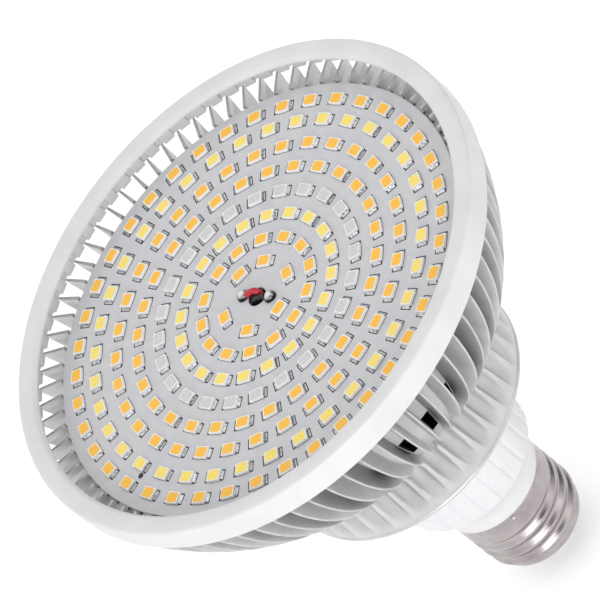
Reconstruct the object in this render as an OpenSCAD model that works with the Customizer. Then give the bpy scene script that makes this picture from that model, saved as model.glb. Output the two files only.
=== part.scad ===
// Grow light bulb with a flat reflector shape: a board of small diodes
// in front, a finned cast heat sink, a plastic neck and a screw cap.
// The tip of the cap is at the origin and the bulb shines along +Z.

/* [Cap] */
// Crest diameter of the cap thread
thread_d = 26.2; // [26.05:0.05:26.45]
// Root diameter of the cap thread
thread_root_d = 24.4; // [24.3:0.02:24.6]
// Rise of the thread for one turn
thread_pitch = 3.63; // [3.5:0.01:3.7]
// Turns of thread on the cap
thread_turns = 3.6; // [3:0.1:3.8]
// Height of the smooth collar above the thread
collar_h = 5; // [4.2:0.1:5.4]
// Height of the whole metal shell
shell_h = 21; // [20.6:0.1:22]
// Thickness of the shell's sheet metal
shell_t = 0.3; // [0.25:0.01:0.35]
// Diameter of the opening in the shell's lower end
shell_mouth_d = 19; // [18.4:0.1:19.6]
// Height of the insulator below the shell
insulator_h = 4.4; // [4:0.1:4.8]
// Diameter of the insulator where the contact sits
insulator_tip_d = 11; // [10.6:0.1:12]
// Diameter of the centre contact
contact_d = 9.5; // [9:0.1:10.4]
// Thickness of the centre contact
contact_t = 1.6; // [1.4:0.1:1.8]

/* [Neck housing] */
// Diameter of the neck where the cap ends
neck_low_d = 26.8; // [26.6:0.1:27.2]
// Diameter of the neck between its pads
neck_d = 35.2; // [34.8:0.1:36.6]
// Height of the spigot inside the cap
spigot_h = 15; // [13:0.5:16]
// Height of the smooth curved part above the cap
neck_curve_h = 9.6; // [8.6:0.1:10.4]
// Height from the curved part up to the flange
neck_band_h = 24.6; // [23.5:0.1:25.4]
// Wall of the neck and of its driver cup
neck_wall = 2; // [1.6:0.1:2.1]
// Thickness of the flange that closes the drum
flange_t = 2; // [1.6:0.1:2.4]
// Height of the driver cup above the flange
cup_h = 24; // [23:0.5:27]
// Number of raised pads round the neck
pad_count = 24; // [20:1:28]
// Height that a pad stands out
pad_rise = 0.6; // [0.3:0.1:0.8]
// Gap between neighbouring pads
pad_gap = 1.2; // [0.8:0.1:1.8]
// Length of a pad
pad_h = 22; // [18:0.5:23]

/* [Heat sink] */
// Distance of the waist between fins and drum from the neck
waist_out = 14.1; // [13.9:0.1:14.6]
// How far the drum swells out beyond the waist
drum_swell = 1.3; // [0.9:0.1:1.7]
// How far the drum's lower lip stands out beyond the waist
lip_out = 0.5; // [0.2:0.1:0.8]
// Wall of the drum
drum_wall = 2.6; // [2.2:0.1:2.9]
// Height from the lip to the waist
drum_h = 15.6; // [15:0.1:17]
// Height of the neck flange above the lip
flange_recess = 0.4; // [0.2:0.1:0.8]
// Number of fins
fin_count = 80; // [72:4:84]
// Thickness of a fin
fin_t = 0.9; // [0.7:0.05:1]
// How far the fins stay inside the ring's outer face
fin_in = 0.4; // [0.3:0.05:0.8]
// How far the control point of the fins' belly curve lies inside their edge
fin_belly_in = 7.2; // [6:0.1:8]
// Height of that control point above the waist
fin_belly_h = 13.2; // [12:0.1:15]
// How far the bowl wall stays inside the board's edge
bowl_in = 2; // [1.5:0.1:3]
// How far the control point of the bowl's curve lies inside its upper edge
bowl_belly_in = 3; // [2.5:0.1:5]
// Thickness of the bowl wall
bowl_wall = 2; // [1.6:0.1:2.4]
// Thickness of the plate under the board
plate_t = 3; // [2.5:0.1:4]
// Height from the waist to the plate's face
bowl_h = 36.3; // [36:0.1:37]
// Width of a vent window
vent_w = 2.2; // [1.6:0.1:2.3]
// Height of a vent window
vent_h = 10; // [8:0.5:11]
// Height from the waist to the lower edge of a window
vent_low = 10.4; // [9.8:0.1:12]
// Radius of a flute in the drum
flute_r = 2; // [1.6:0.1:2.2]
// Depth of a flute at the waist
flute_depth = 1.5; // [1.2:0.1:1.6]
// Lean of a flute away from the axis towards the lip
flute_lean = 3.6; // [3:0.1:5]
// Height above the lip where a flute ends
flute_low = 2.4; // [1.8:0.1:3]
// Diameter of the wire hole in the plate
plate_hole_d = 8; // [7:0.5:10]

/* [Front ring] */
// Outer diameter of the front ring
ring_d = 122; // [121.6:0.2:123]
// Height of the front ring
ring_h = 6.4; // [6:0.1:7]
// Wall of the front ring
ring_wall = 1.1; // [0.9:0.05:1.3]
// Width of the ring's front face
ring_face_w = 4.8; // [4.4:0.1:5.4]
// Thickness of the ring's front face
ring_face_t = 1.5; // [1.2:0.1:1.8]
// Rounding of the ring's front outer edge
ring_round = 0.8; // [0.5:0.1:1]
// Width of a tab on the ring's wall
tab_w = 2.1; // [1.6:0.1:2.2]
// How far a tab stands in from the ring's wall
tab_in = 1; // [0.8:0.1:1.2]

/* [Diode board] */
// Distance from the board's edge to the ring's outer face
board_in = 7.5; // [7.3:0.1:8]
// Thickness of the board
board_t = 1.2; // [1:0.1:1.5]
// Thickness of the heat-conducting pad under the board
pad_t = 0.3; // [0.2:0.05:0.5]
// Gap between the board's edge and the fins round it
board_gap = 0.4; // [0.3:0.1:0.6]
// Height of the fins above the board's face
fin_above = 0.3; // [0:0.1:0.6]
// Diameter of the wire hole in the board
board_hole_d = 4.4; // [4.2:0.1:4.8]
// Diameter of the small locating hole
pilot_d = 2; // [1.5:0.1:2.5]
// Distance of the small locating hole from the board's edge
pilot_in = 7.2; // [6.9:0.1:7.4]
// Angle of the small locating hole
pilot_angle = 212.7; // [212.2:0.1:213.2]

/* [Diodes] */
// Radius of the innermost ring of diodes
led_inner_r = 8.7; // [8.5:0.1:9]
// Distance from the outermost ring of diodes to the board's edge
led_rim = 4.3; // [4:0.1:4.6]
// Distance between the two outermost rings; the others share the rest evenly
led_outer_gap = 5.1; // [4.9:0.1:5.5]
// Number of diodes in each ring
led_ring_n = [6, 14, 20, 24, 28, 32, 36, 40];
// Kind of each ring: 0 orange, 1 yellow, 2 clear with a red chip
led_ring_kind = [0, 0, 1, 2, 0, 0, 1, 0];
// Angle at which every ring starts
led_start = 120.5; // [119.5:0.1:121.5]
// Shift of each ring's first diode along the ring
led_first_shift = 0.5; // [0:0.1:0.8]
// Length of a diode, along its ring
led_l = 3.5; // [3.3:0.1:3.7]
// Width of a diode
led_w = 2.8; // [2.7:0.1:3]
// Height of a diode above its solder
led_h = 0.7; // [0.6:0.05:0.8]
// Thickness of the solder under a diode
solder_t = 0.1; // [0.06:0.02:0.14]
// Length over the solder at both ends of a diode
solder_l = 4.6; // [4.2:0.1:4.7]
// Width of the solder
solder_w = 2.4; // [2:0.1:2.6]
// Length of the diode's window
window_l = 3.1; // [2.8:0.1:3.2]
// Width of the diode's window
window_w = 2.5; // [2.2:0.05:2.55]
// Depth of the diode's window
window_depth = 0.35; // [0.25:0.05:0.4]

/* [Wires] */
// Diameter of an insulated wire
wire_d = 1.9; // [1.6:0.1:1.9]
// Diameter of the two solder joints on the board
joint_d = 3; // [2.6:0.1:3.2]
// Height of the two solder joints
joint_h = 1.5; // [1.2:0.1:1.6]
// Distance of a solder joint from the axis
joint_r = 4; // [3.9:0.1:4.3]
// Angle of the red wire's solder joint
joint_angle = 140; // [135:1:145]

/* [Driver] */
// Distance of the driver board's edges from the cup's wall
driver_gap = 0.6; // [0.6:0.1:1.1]
// Height of the driver board
driver_h = 46; // [44:0.5:48]
// Thickness of the driver board
driver_t = 1.6; // [1.2:0.1:1.8]
// Distance of the driver board behind the axis
driver_back = 3; // [2.8:0.1:3]
// Diameter of the input capacitor
in_cap_d = 10; // [8:0.5:10]
// Length of the input capacitor
in_cap_l = 16; // [14:0.5:16.5]
// Diameter of the output capacitor
out_cap_d = 8; // [6:0.5:8]
// Length of the output capacitor
out_cap_l = 14; // [12:0.5:16]
// Width of the transformer's core
trafo_w = 16; // [14:0.5:16.5]
// Height of the transformer's core
trafo_h = 13; // [11:0.5:13.5]
// Depth of the transformer
trafo_depth = 11; // [10:0.5:11.5]
// Width of the film capacitor
film_w = 11; // [9:0.5:11.5]
// Height of the film capacitor
film_h = 9; // [7:0.5:9.5]
// Thickness of the film capacitor
film_t = 5; // [4:0.5:6]
// Diameter of the choke
choke_d = 8; // [6:0.5:8]
// Length of the choke
choke_l = 9; // [7:0.5:9.5]
// Width and height of the rectifier
rect_w = 8; // [6:0.5:9]
// Thickness of the rectifier
rect_t = 2.6; // [2:0.1:3]
// Height of the rectifier above the driver board's lower edge
rect_up = 12; // [10:0.5:20]
// Diameter of the fuse resistor
fuse_d = 3.4; // [2.6:0.2:4]
// Length of the fuse resistor
fuse_l = 9; // [7:0.5:10]
// Height of the fuse resistor above the driver board's lower edge
fuse_up = 6; // [4:0.5:9]

/* [Screws] */
// Number of screws that hold the neck
screw_count = 3; // [2:1:4]
// Thread diameter of a screw
screw_d = 2.6; // [2.2:0.1:3]
// Head diameter of a screw
screw_head_d = 5; // [4.4:0.1:5.4]
// Head height of a screw
screw_head_h = 1.2; // [1:0.1:1.4]
// Length of a screw under its head
screw_l = 7; // [6:0.5:8]
// Distance of the screws from the drum's bore
screw_in = 5.2; // [4.8:0.1:5.6]
// Diameter of the bosses that take the screws
boss_d = 6; // [5.6:0.1:6.4]
// Height of the bosses above the flange
boss_h = 9; // [8.5:0.5:12]

/* [Hidden] */
$fn = 96;

// Clearance between curved faces that seat in each other
fit = 0.1;
// Overlap that lets a cut run past a face
past = 1;
// Steps along each smooth curve
curve_steps = 9;

// Heights, from the tip of the cap upwards
shell_low = contact_t + insulator_h;
shell_top = shell_low + shell_h;
neck_band_low = shell_top + neck_curve_h;
flange_low = neck_band_low + neck_band_h;
flange_top = flange_low + flange_t;
lip_low = flange_low - flange_recess;
waist_z = lip_low + drum_h;
plate_top = waist_z + bowl_h;
board_low = plate_top + pad_t;
board_top = board_low + board_t;
fin_top = board_top + fin_above;
ring_top = fin_top + ring_h;
cup_top = flange_top + cup_h;
led_low = board_top + solder_t;
led_top = led_low + led_h;

// Sizes round the board, which follow the front ring
fin_d = ring_d - 2 * fin_in;
fin_belly_d = fin_d - 2 * fin_belly_in;
board_d = ring_d - 2 * board_in;
bowl_d = board_d - 2 * bowl_in;
bowl_belly_d = bowl_d - 2 * bowl_belly_in;
pilot_r = board_d / 2 - pilot_in;
led_rim_r = board_d / 2 - led_rim;
led_ring_gap = (led_rim_r - led_outer_gap - led_inner_r) / (len(led_ring_n) - 2);
led_ring_r = [for (i = [0:len(led_ring_n) - 2]) led_inner_r + i * led_ring_gap, led_rim_r];

// Sizes of the drum and of what it holds, which follow the neck
waist_d = neck_d + 2 * waist_out;
drum_d = waist_d + 2 * drum_swell;
lip_d = waist_d + 2 * lip_out;
drum_bore_r = lip_d / 2 - drum_wall;
screw_r = drum_bore_r - screw_in;
neck_bore_r = neck_d / 2 - neck_wall;
driver_w = 2 * (neck_bore_r - driver_gap);
spigot_r = thread_root_d / 2 - shell_t - 2 * fit;
spigot_low = shell_top - spigot_h;
driver_low = neck_band_low + 1;
driver_face = -driver_back;
fin_pitch = 360 / fin_count;
collar_inner_r = thread_d / 2 - shell_t;

// Point at t on the curve that starts at a, is drawn towards b and ends at c
function curve_point(a, b, c, t) = (1 - t) * (1 - t) * a + 2 * t * (1 - t) * b + t * t * c;
function curve(a, b, c) = [for (i = [0:curve_steps]) curve_point(a, b, c, i / curve_steps)];

// Outline of the fins' outer edge, from the front ring down to the waist
function fin_edge() = curve([fin_d / 2, fin_top], [fin_belly_d / 2, waist_z + fin_belly_h],
                            [waist_d / 2 + 1, waist_z + 0.6]);
// Outline of the bowl wall, inset by a distance
function bowl_edge(inset, top) = curve([bowl_d / 2 - inset, top],
                                       [bowl_belly_d / 2 - inset, waist_z + bowl_h * 0.45],
                                       [waist_d / 2 - inset, waist_z]);
function reversed(list) = [for (i = [len(list) - 1:-1:0]) list[i]];

// Round wire swept along a list of points; side is a direction across its route
module wire(points, side, d) {
    sides = 12;
    last = len(points) - 1;
    function along(i) = points[min(i + 1, last)] - points[max(i - 1, 0)];
    function unit(v) = v / norm(v);
    skin = [for (i = [0:last]) let (v = unit(cross(along(i), side)), u = unit(cross(v, along(i))))
        for (k = [0:sides - 1]) points[i] + (u * cos(k * 360 / sides) + v * sin(k * 360 / sides)) * d / 2];
    walls = [for (i = [0:last - 1]) for (k = [0:sides - 1])
        let (a = i * sides + k, b = i * sides + (k + 1) % sides) [a, b, b + sides, a + sides]];
    ends = [[for (k = [sides - 1:-1:0]) k], [for (k = [0:sides - 1]) last * sides + k]];
    polyhedron(points = skin, faces = concat(walls, ends));
}

// Children at each diode of the rings of one kind, with 3 for every ring
module at_leds(kind) {
    for (ring = [0:len(led_ring_r) - 1]) {
        if (kind == 3 || led_ring_kind[ring] == kind) {
            r = led_ring_r[ring];
            n = led_ring_n[ring];
            for (i = [0:n - 1]) {
                // The first diode of a ring sits a little before its even place
                back = i > 0 ? 0 : led_first_shift * (ring == 0 ? 4.6 : 1);
                angle = led_start + i * 360 / n - back / r * 180 / PI;
                rotate(angle) translate([r, 0]) children();
            }
        }
    }
}

// White plastic ring that is pressed over the fins
module bezel_ring() {
    color("white") {
        rotate_extrude() difference() {
            translate([ring_d / 2 - ring_face_w, fin_top]) square([ring_face_w, ring_h]);
            translate([ring_d / 2 - ring_face_w - past, fin_top - past])
                square([ring_face_w + past - ring_wall, ring_h + past - ring_face_t]);
            translate([ring_d / 2 - ring_round, ring_top - ring_round]) difference() {
                square(ring_round + past);
                circle(r = ring_round);
            }
        }
        // Tabs that stiffen the ring's wall over each space between fins
        translate([0, 0, fin_top]) linear_extrude(ring_h - ring_face_t / 2)
            for (i = [0:fin_count - 1]) rotate(i * fin_pitch)
                translate([ring_d / 2 - ring_wall - tab_in, -tab_w / 2])
                    square([tab_in + ring_wall / 2, tab_w]);
    }
}

// One casting: top plate, bowl wall with windows, fins, waist and fluted drum
module heat_sink() {
    color([0.78, 0.79, 0.8]) difference() {
        union() {
            rotate_extrude() sink_section();
            fins();
            bosses();
        }
        vents();
        flutes();
        translate([0, 0, plate_top - plate_t - past])
            cylinder(d = plate_hole_d, h = plate_t + 2 * past);
        at_screws() translate([0, 0, flange_top - past])
            cylinder(d = screw_d + fit, h = screw_l - flange_t + past, $fn = 24);
    }
}

// Section of the casting without fins and flutes
module sink_section() {
    drum_mid = lip_low + drum_h / 2;
    outside = concat(
        bowl_edge(0, plate_top),
        curve([waist_d / 2, waist_z], [drum_d - waist_d / 4 - lip_d / 4, drum_mid],
              [lip_d / 2, lip_low + 1]),
        [[lip_d / 2, lip_low + 0.3], [lip_d / 2 - 0.3, lip_low]]);
    inside = concat(
        [[drum_bore_r, lip_low], [drum_bore_r, waist_z - 1]],
        reversed(bowl_edge(bowl_wall, plate_top - plate_t)),
        [[0, plate_top - plate_t], [0, plate_top]]);
    polygon(concat(outside, inside));
}

// Thin radial fins, cut to the belly curve outside and sunk in the bowl wall
module fins() {
    seat_r = board_d / 2 + board_gap;
    intersection() {
        rotate_extrude() polygon(concat(
            [[seat_r, fin_top]],
            fin_edge(),
            reversed(bowl_edge(bowl_wall / 2, plate_top)),
            [[seat_r, plate_top]]));
        translate([0, 0, waist_z]) linear_extrude(fin_top - waist_z)
            for (i = [0:fin_count - 1]) rotate((i + 0.5) * fin_pitch)
                translate([waist_d / 2 - bowl_wall, -fin_t / 2])
                    square([fin_d / 2 - waist_d / 2 + bowl_wall, fin_t]);
    }
}

// Windows through the bowl wall, in every second space between fins
module vents() {
    for (i = [0:fin_count / 2 - 1]) rotate(2 * i * fin_pitch)
        translate([waist_d / 2, -vent_w / 2, waist_z + vent_low])
            cube([fin_belly_d / 2 - waist_d / 2, vent_w, vent_h]);
}

// Round-bottomed flutes that run out towards the lip
module flutes() {
    axis_r = waist_d / 2 - flute_depth + flute_r;
    for (i = [0:fin_count / 2 - 1]) rotate(2 * i * fin_pitch)
        translate([axis_r, 0, waist_z + past]) rotate([0, 180 - flute_lean, 0])
            cylinder(r = flute_r, h = drum_h + past - flute_low, $fn = 32);
}

// Children at each screw of the neck flange
module at_screws() {
    for (i = [0:screw_count - 1]) rotate(i * 360 / screw_count + 90) translate([screw_r, 0, 0])
        children();
}

// Bosses inside the drum, joined to its wall
module bosses() {
    at_screws() translate([0, 0, flange_top]) {
        cylinder(d = boss_d, h = boss_h);
        translate([0, -boss_d / 4, 0])
            cube([drum_bore_r - screw_r + drum_wall / 2, boss_d / 2, boss_h]);
    }
}

// Aluminium board with the wire hole and a small locating hole
module led_board() {
    color([0.82, 0.82, 0.84]) translate([0, 0, board_low]) difference() {
        cylinder(d = board_d, h = board_t);
        translate([0, 0, -past]) cylinder(d = board_hole_d, h = board_t + 2 * past);
        rotate(pilot_angle) translate([pilot_r, 0, -past])
            cylinder(d = pilot_d, h = board_t + 2 * past);
    }
}

// Soft grey pad that carries heat from the board to the casting
module thermal_pad() {
    color("gray") translate([0, 0, plate_top]) difference() {
        cylinder(d = bowl_d - 2, h = pad_t);
        translate([0, 0, -past]) cylinder(d = plate_hole_d, h = pad_t + 2 * past);
        rotate(pilot_angle) translate([pilot_r, 0, -past])
            cylinder(d = pilot_d, h = pad_t + 2 * past);
    }
}

// White diode bodies, each with the pocket of its window
module led_bodies() {
    color("white") difference() {
        translate([0, 0, led_low]) linear_extrude(led_h)
            at_leds(3) square([led_w, led_l], center = true);
        translate([0, 0, led_top - window_depth]) linear_extrude(window_depth + past)
            at_leds(3) square([window_w, window_l], center = true);
    }
}

// Solder under both ends of every diode
module led_solder() {
    color("silver") translate([0, 0, board_top]) linear_extrude(solder_t)
        at_leds(3) square([solder_w, solder_l], center = true);
}

// Cast resin that fills the windows of one kind of diode
module windows(kind) {
    translate([0, 0, led_top - window_depth]) linear_extrude(window_depth)
        at_leds(kind) square([window_w, window_l], center = true);
}

module orange_windows() {
    color("orange") windows(0);
}

module yellow_windows() {
    color("yellow") windows(1);
}

module clear_windows() {
    color("gainsboro") windows(2);
}

// Place of the wire joint on the side given by a half turn
function joint_at(turn, z) = [joint_r * cos(joint_angle + turn), joint_r * sin(joint_angle + turn), z];

// Two domes of solder where the wires meet the board
module solder_joints() {
    color("silver") for (turn = [0, 180]) translate(joint_at(turn, board_top)) difference() {
        scale_r = (joint_d * joint_d / 4 + joint_h * joint_h) / (2 * joint_h);
        translate([0, 0, joint_h - scale_r]) sphere(r = scale_r, $fn = 48);
        translate([0, 0, -2 * scale_r]) cylinder(r = 2 * scale_r, h = 2 * scale_r);
    }
}

// Wire from one solder joint over the hole's edge and down to the driver
module board_lead(turn) {
    out = joint_at(turn, 0) / joint_r;
    across = [-out[1], out[0], 0];
    lie_z = board_top + wire_d / 2;
    start = out * (joint_r - joint_d / 2 - fit) + [0, 0, lie_z + 0.3];
    inside = out * (board_hole_d / 2 - wire_d / 2 - fit);
    end = out * wire_d * 0.7 + [0, driver_face + driver_t / 2, driver_low + driver_h];
    wire(concat(curve(start, inside + [0, 0, lie_z + 0.4], inside + [0, 0, board_low]),
                curve(inside + [0, 0, plate_top - plate_t - 2],
                      inside + [0, 0, (plate_top + end[2]) / 2], end + [0, 0, wire_d]),
                [end]), across, wire_d);
}

module red_lead() {
    color("red") board_lead(0);
}

module black_lead() {
    color([0.1, 0.1, 0.1]) board_lead(180);
}

// White moulded neck: spigot for the cap, curve, padded band, flange and cup
module neck_housing() {
    color("white") difference() {
        union() {
            rotate_extrude() polygon(concat(
                [[spigot_r - neck_wall, spigot_low], [spigot_r, spigot_low],
                 [spigot_r, shell_top - collar_h], [collar_inner_r - fit, shell_top - collar_h],
                 [collar_inner_r - fit, shell_top], [neck_low_d / 2, shell_top]],
                curve([neck_low_d / 2, shell_top + 1.4], [neck_low_d / 2 + 0.4, shell_top + 5],
                      [neck_d / 2, neck_band_low]),
                [[neck_d / 2, flange_low], [drum_bore_r - fit, flange_low],
                 [drum_bore_r - fit, flange_top], [neck_d / 2, flange_top], [neck_d / 2, cup_top],
                 [neck_bore_r, cup_top], [neck_bore_r, driver_low],
                 [spigot_r - neck_wall, driver_low - 3]]));
            for (i = [0:pad_count - 1]) rotate(i * 360 / pad_count) pad();
        }
        at_screws() translate([0, 0, flange_low - past])
            cylinder(d = screw_d + 2 * fit, h = flange_t + 2 * past, $fn = 24);
    }
}

// One raised pad of the neck, with rounded corners
module pad() {
    width = PI * neck_d / pad_count - pad_gap;
    translate([neck_d / 2 - 1, 0, neck_band_low + 0.2]) rotate([90, 0, 90])
        linear_extrude(1 + pad_rise) translate([-width / 2, 0]) square([width, pad_h]);
}

// Pan-head screws that hold the neck flange in the drum
module neck_screws() {
    color("silver") at_screws() translate([0, 0, flange_low - screw_head_h]) {
        cylinder(d = screw_head_d, h = screw_head_h);
        cylinder(d = screw_d, h = screw_l, $fn = 24);
    }
}

// Upright circuit board of the driver
module driver_board() {
    color("tan") translate([-driver_w / 2, driver_face, driver_low])
        cube([driver_w, driver_t, driver_h]);
}

// Face of the driver board that carries the large parts
front_y = driver_face + driver_t;

module input_capacitor() {
    color([0.15, 0.15, 0.17]) translate([-in_cap_d / 2 - 1, front_y + in_cap_d / 2, driver_low + 2])
        cylinder(d = in_cap_d, h = in_cap_l);
}

module output_capacitor() {
    color([0.15, 0.15, 0.17]) translate([out_cap_d / 2 + 1, front_y + out_cap_d / 2, driver_low + 2])
        cylinder(d = out_cap_d, h = out_cap_l);
}

module transformer_core() {
    bar = trafo_h / 4;
    color([0.25, 0.25, 0.27]) translate([-trafo_w / 2, front_y, driver_low + in_cap_l + 4]) {
        for (z = [0, trafo_h - bar]) translate([0, 0, z]) cube([trafo_w, trafo_depth, bar]);
        for (x = [0, trafo_w - bar]) translate([x, 0, 0]) cube([bar, trafo_depth, trafo_h]);
    }
}

module transformer_coil() {
    bar = trafo_h / 4;
    color("goldenrod") translate([-trafo_w / 2 + bar + fit, front_y,
                                  driver_low + in_cap_l + 4 + bar])
        cube([trafo_w - 2 * bar - 2 * fit, trafo_depth + 0.6, trafo_h - 2 * bar]);
}

// Height above which the small parts sit over the transformer
function upper_z() = driver_low + in_cap_l + trafo_h + 5;

module film_capacitor() {
    color("khaki") translate([-film_w - 1, front_y, upper_z()]) cube([film_w, film_t, film_h]);
}

module choke() {
    color([0.2, 0.25, 0.2]) translate([choke_d / 2 + 1, front_y + choke_d / 2, upper_z()]) {
        cylinder(d = choke_d, h = choke_l / 5);
        cylinder(d = choke_d * 0.8, h = choke_l);
        translate([0, 0, choke_l * 4 / 5]) cylinder(d = choke_d, h = choke_l / 5);
    }
}

module rectifier() {
    color([0.1, 0.1, 0.1]) translate([-rect_w / 2, driver_face - rect_t, driver_low + rect_up])
        cube([rect_w, rect_t, rect_w]);
}

module fuse_resistor() {
    color("seagreen") translate([-fuse_l / 2, driver_face - fuse_d / 2, driver_low + fuse_up])
        rotate([0, 90, 0]) cylinder(d = fuse_d, h = fuse_l, $fn = 32);
}

// Wire from the driver board down to the centre contact
module live_lead() {
    top = [-2 * wire_d, driver_face + driver_t / 2, driver_low];
    color("brown") wire(concat([[0, 0, contact_t]], curve([0, 0, shell_low + 1.5 * wire_d],
        [0, 0, driver_low - 4 * wire_d], top - [0, 0, wire_d]), [top]), [0, 1, 0], wire_d);
}

// Wire from the driver board to the inside of the shell
module neutral_lead() {
    side = 2.6 * wire_d;
    top = [side, driver_face + driver_t / 2, driver_low];
    end = [thread_root_d / 2 - shell_t - fit, 0, shell_low + 1.8 * wire_d];
    rise = shell_low + 5.3 * wire_d;
    color("gray") wire(concat(curve(end, [side + wire_d / 2, 0, end[2] - fit * 2], [side, 0, rise]),
        curve([side, 0, driver_low - 5 * wire_d], [side, 0, driver_low - 3 * wire_d],
              top - [0, 0, wire_d]), [top]), [0, 1, 0], wire_d);
}

// Thread radius at a height and angle, with both ends of the thread run out
function thread_radius(turns, angle) =
    let (mean = (thread_d + thread_root_d) / 4, half = (thread_d - thread_root_d) / 4,
         fade_low = min(1, max(0, turns * 2)), fade_top = min(1, max(0, (thread_turns - turns) * 2)))
    mean + half * (cos((turns - angle / 360) * 360) * fade_low * fade_top
                   - (1 - fade_low) + 0.9 * (1 - fade_top));

// Threaded sleeve of the shell as one closed skin, sunk a little into the collar
module thread_sleeve(low) {
    sides = 40;
    rows = 32;
    length = thread_turns * thread_pitch + 3 * fit;
    skin = [for (row = [0:rows]) for (side = [0:sides - 1])
        let (turns = thread_turns * row / rows, angle = side * 360 / sides,
             r = thread_radius(turns, angle))
        [r * cos(angle), r * sin(angle), low + length * row / rows]];
    walls = [for (row = [0:rows - 1]) for (side = [0:sides - 1])
        let (a = row * sides + side, b = row * sides + (side + 1) % sides)
        each [[a, a + sides, b + sides], [a, b + sides, b]]];
    ends = [[for (side = [0:sides - 1]) side],
            [for (side = [sides - 1:-1:0]) rows * sides + side]];
    polyhedron(points = skin, faces = concat(walls, ends));
}

// Nickel-plated shell: smooth collar, rolled thread and rounded lower end
module screw_shell() {
    thread_low = shell_top - collar_h - thread_turns * thread_pitch;
    root_r = thread_root_d / 2;
    mouth_r = shell_mouth_d / 2;
    color([0.75, 0.72, 0.72]) difference() {
        union() {
            translate([0, 0, shell_top - collar_h]) cylinder(d = thread_d, h = collar_h);
            thread_sleeve(thread_low);
            rotate_extrude() polygon(concat([[0, shell_low], [mouth_r, shell_low]],
                curve([mouth_r + 0.6, shell_low], [root_r, shell_low + 0.4],
                      [root_r - fit, thread_low + 2 * fit]), [[0, thread_low + 2 * fit]]));
        }
        rotate_extrude() polygon(concat(
            [[0, shell_low - past], [mouth_r, shell_low - past], [mouth_r, shell_low + shell_t]],
            curve([mouth_r + 0.6, shell_low + shell_t], [root_r - shell_t, shell_low + 0.4 + shell_t],
                  [root_r - shell_t, thread_low + 2 * fit]),
            [[root_r - shell_t, shell_top - collar_h], [collar_inner_r, shell_top - collar_h],
             [collar_inner_r, shell_top + past], [0, shell_top + past]]));
    }
}

// Black glass between the shell and the contact, with a lip inside the shell
module cap_insulator() {
    waist_r = shell_mouth_d / 2 - fit;
    lip_z = shell_low + shell_t + fit;
    color([0.1, 0.1, 0.1]) rotate_extrude() polygon([
        [contact_d / 4, contact_t], [insulator_tip_d / 2, contact_t], [waist_r, shell_low],
        [waist_r, lip_z], [waist_r + 0.6, lip_z], [waist_r + 0.6, lip_z + 1],
        [wire_d, lip_z + 1], [wire_d, shell_low - 2], [contact_d / 4, shell_low - 2.6]]);
}

// Round contact at the very tip
module centre_contact() {
    color("silver") rotate_extrude() polygon([
        [0, 0], [contact_d / 4, 0], [contact_d / 2 - 0.4, contact_t / 3],
        [contact_d / 2, contact_t * 2 / 3], [contact_d / 2, contact_t], [0, contact_t]]);
}

bezel_ring();
heat_sink();
led_board();
thermal_pad();
led_bodies();
led_solder();
orange_windows();
yellow_windows();
clear_windows();
solder_joints();
red_lead();
black_lead();
neck_housing();
neck_screws();
driver_board();
input_capacitor();
output_capacitor();
transformer_core();
transformer_coil();
film_capacitor();
choke();
rectifier();
fuse_resistor();
live_lead();
neutral_lead();
screw_shell();
cap_insulator();
centre_contact();
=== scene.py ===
import math

import bmesh
import bpy
import numpy as np
from mathutils import Matrix, Vector


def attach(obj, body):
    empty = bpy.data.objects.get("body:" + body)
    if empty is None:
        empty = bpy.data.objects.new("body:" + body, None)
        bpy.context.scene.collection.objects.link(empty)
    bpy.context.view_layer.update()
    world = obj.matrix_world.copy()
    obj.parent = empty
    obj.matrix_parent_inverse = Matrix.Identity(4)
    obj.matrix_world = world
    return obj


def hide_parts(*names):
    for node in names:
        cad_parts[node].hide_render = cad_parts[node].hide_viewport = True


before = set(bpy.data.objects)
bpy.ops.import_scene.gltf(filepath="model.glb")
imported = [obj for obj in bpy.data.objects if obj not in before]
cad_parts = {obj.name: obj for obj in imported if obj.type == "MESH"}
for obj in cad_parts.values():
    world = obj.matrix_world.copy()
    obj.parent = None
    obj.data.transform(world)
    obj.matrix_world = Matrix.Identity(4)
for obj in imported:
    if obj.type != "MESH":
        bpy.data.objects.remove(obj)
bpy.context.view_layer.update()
scene = bpy.context.scene
scene.view_settings.view_transform = "Standard"


def colour(code):
    """Linear RGBA of an sRGB colour written as six hex digits."""
    parts = [int(code[i:i + 2], 16) / 255 for i in (0, 2, 4)]
    return [p / 12.92 if p <= 0.04045 else ((p + 0.055) / 1.055) ** 2.4 for p in parts] + [1.0]


def add(material, kind, settings=None, **inputs):
    """Adds a shader node; settings are its own options, inputs are values or other nodes' sockets."""
    made = material.node_tree.nodes.new(kind)
    for name, value in (settings or {}).items():
        setattr(made, name, value)
    for name, value in inputs.items():
        socket = made.inputs[int(name[1:]) if name[1:].isdigit() else name.replace("_", " ")]
        if isinstance(value, bpy.types.NodeSocket):
            material.node_tree.links.new(value, socket)
        else:
            socket.default_value = value
    return made


def surface(name, **shader):
    """A material with one Principled shader, and the socket of object coordinates in millimetres."""
    material = bpy.data.materials.new(name)
    material.use_nodes = True
    material.node_tree.nodes.clear()
    shaded = add(material, "ShaderNodeBsdfPrincipled", **shader)
    add(material, "ShaderNodeOutputMaterial", Surface=shaded.outputs["BSDF"])
    place = add(material, "ShaderNodeTexCoord")
    scaled = add(material, "ShaderNodeVectorMath", {"operation": "SCALE"},
                 i0=place.outputs["Object"], Scale=1000.0)
    return material, shaded, scaled.outputs["Vector"]


def join(material, source, shaded, name):
    material.node_tree.links.new(source, shaded.inputs[name])


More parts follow.
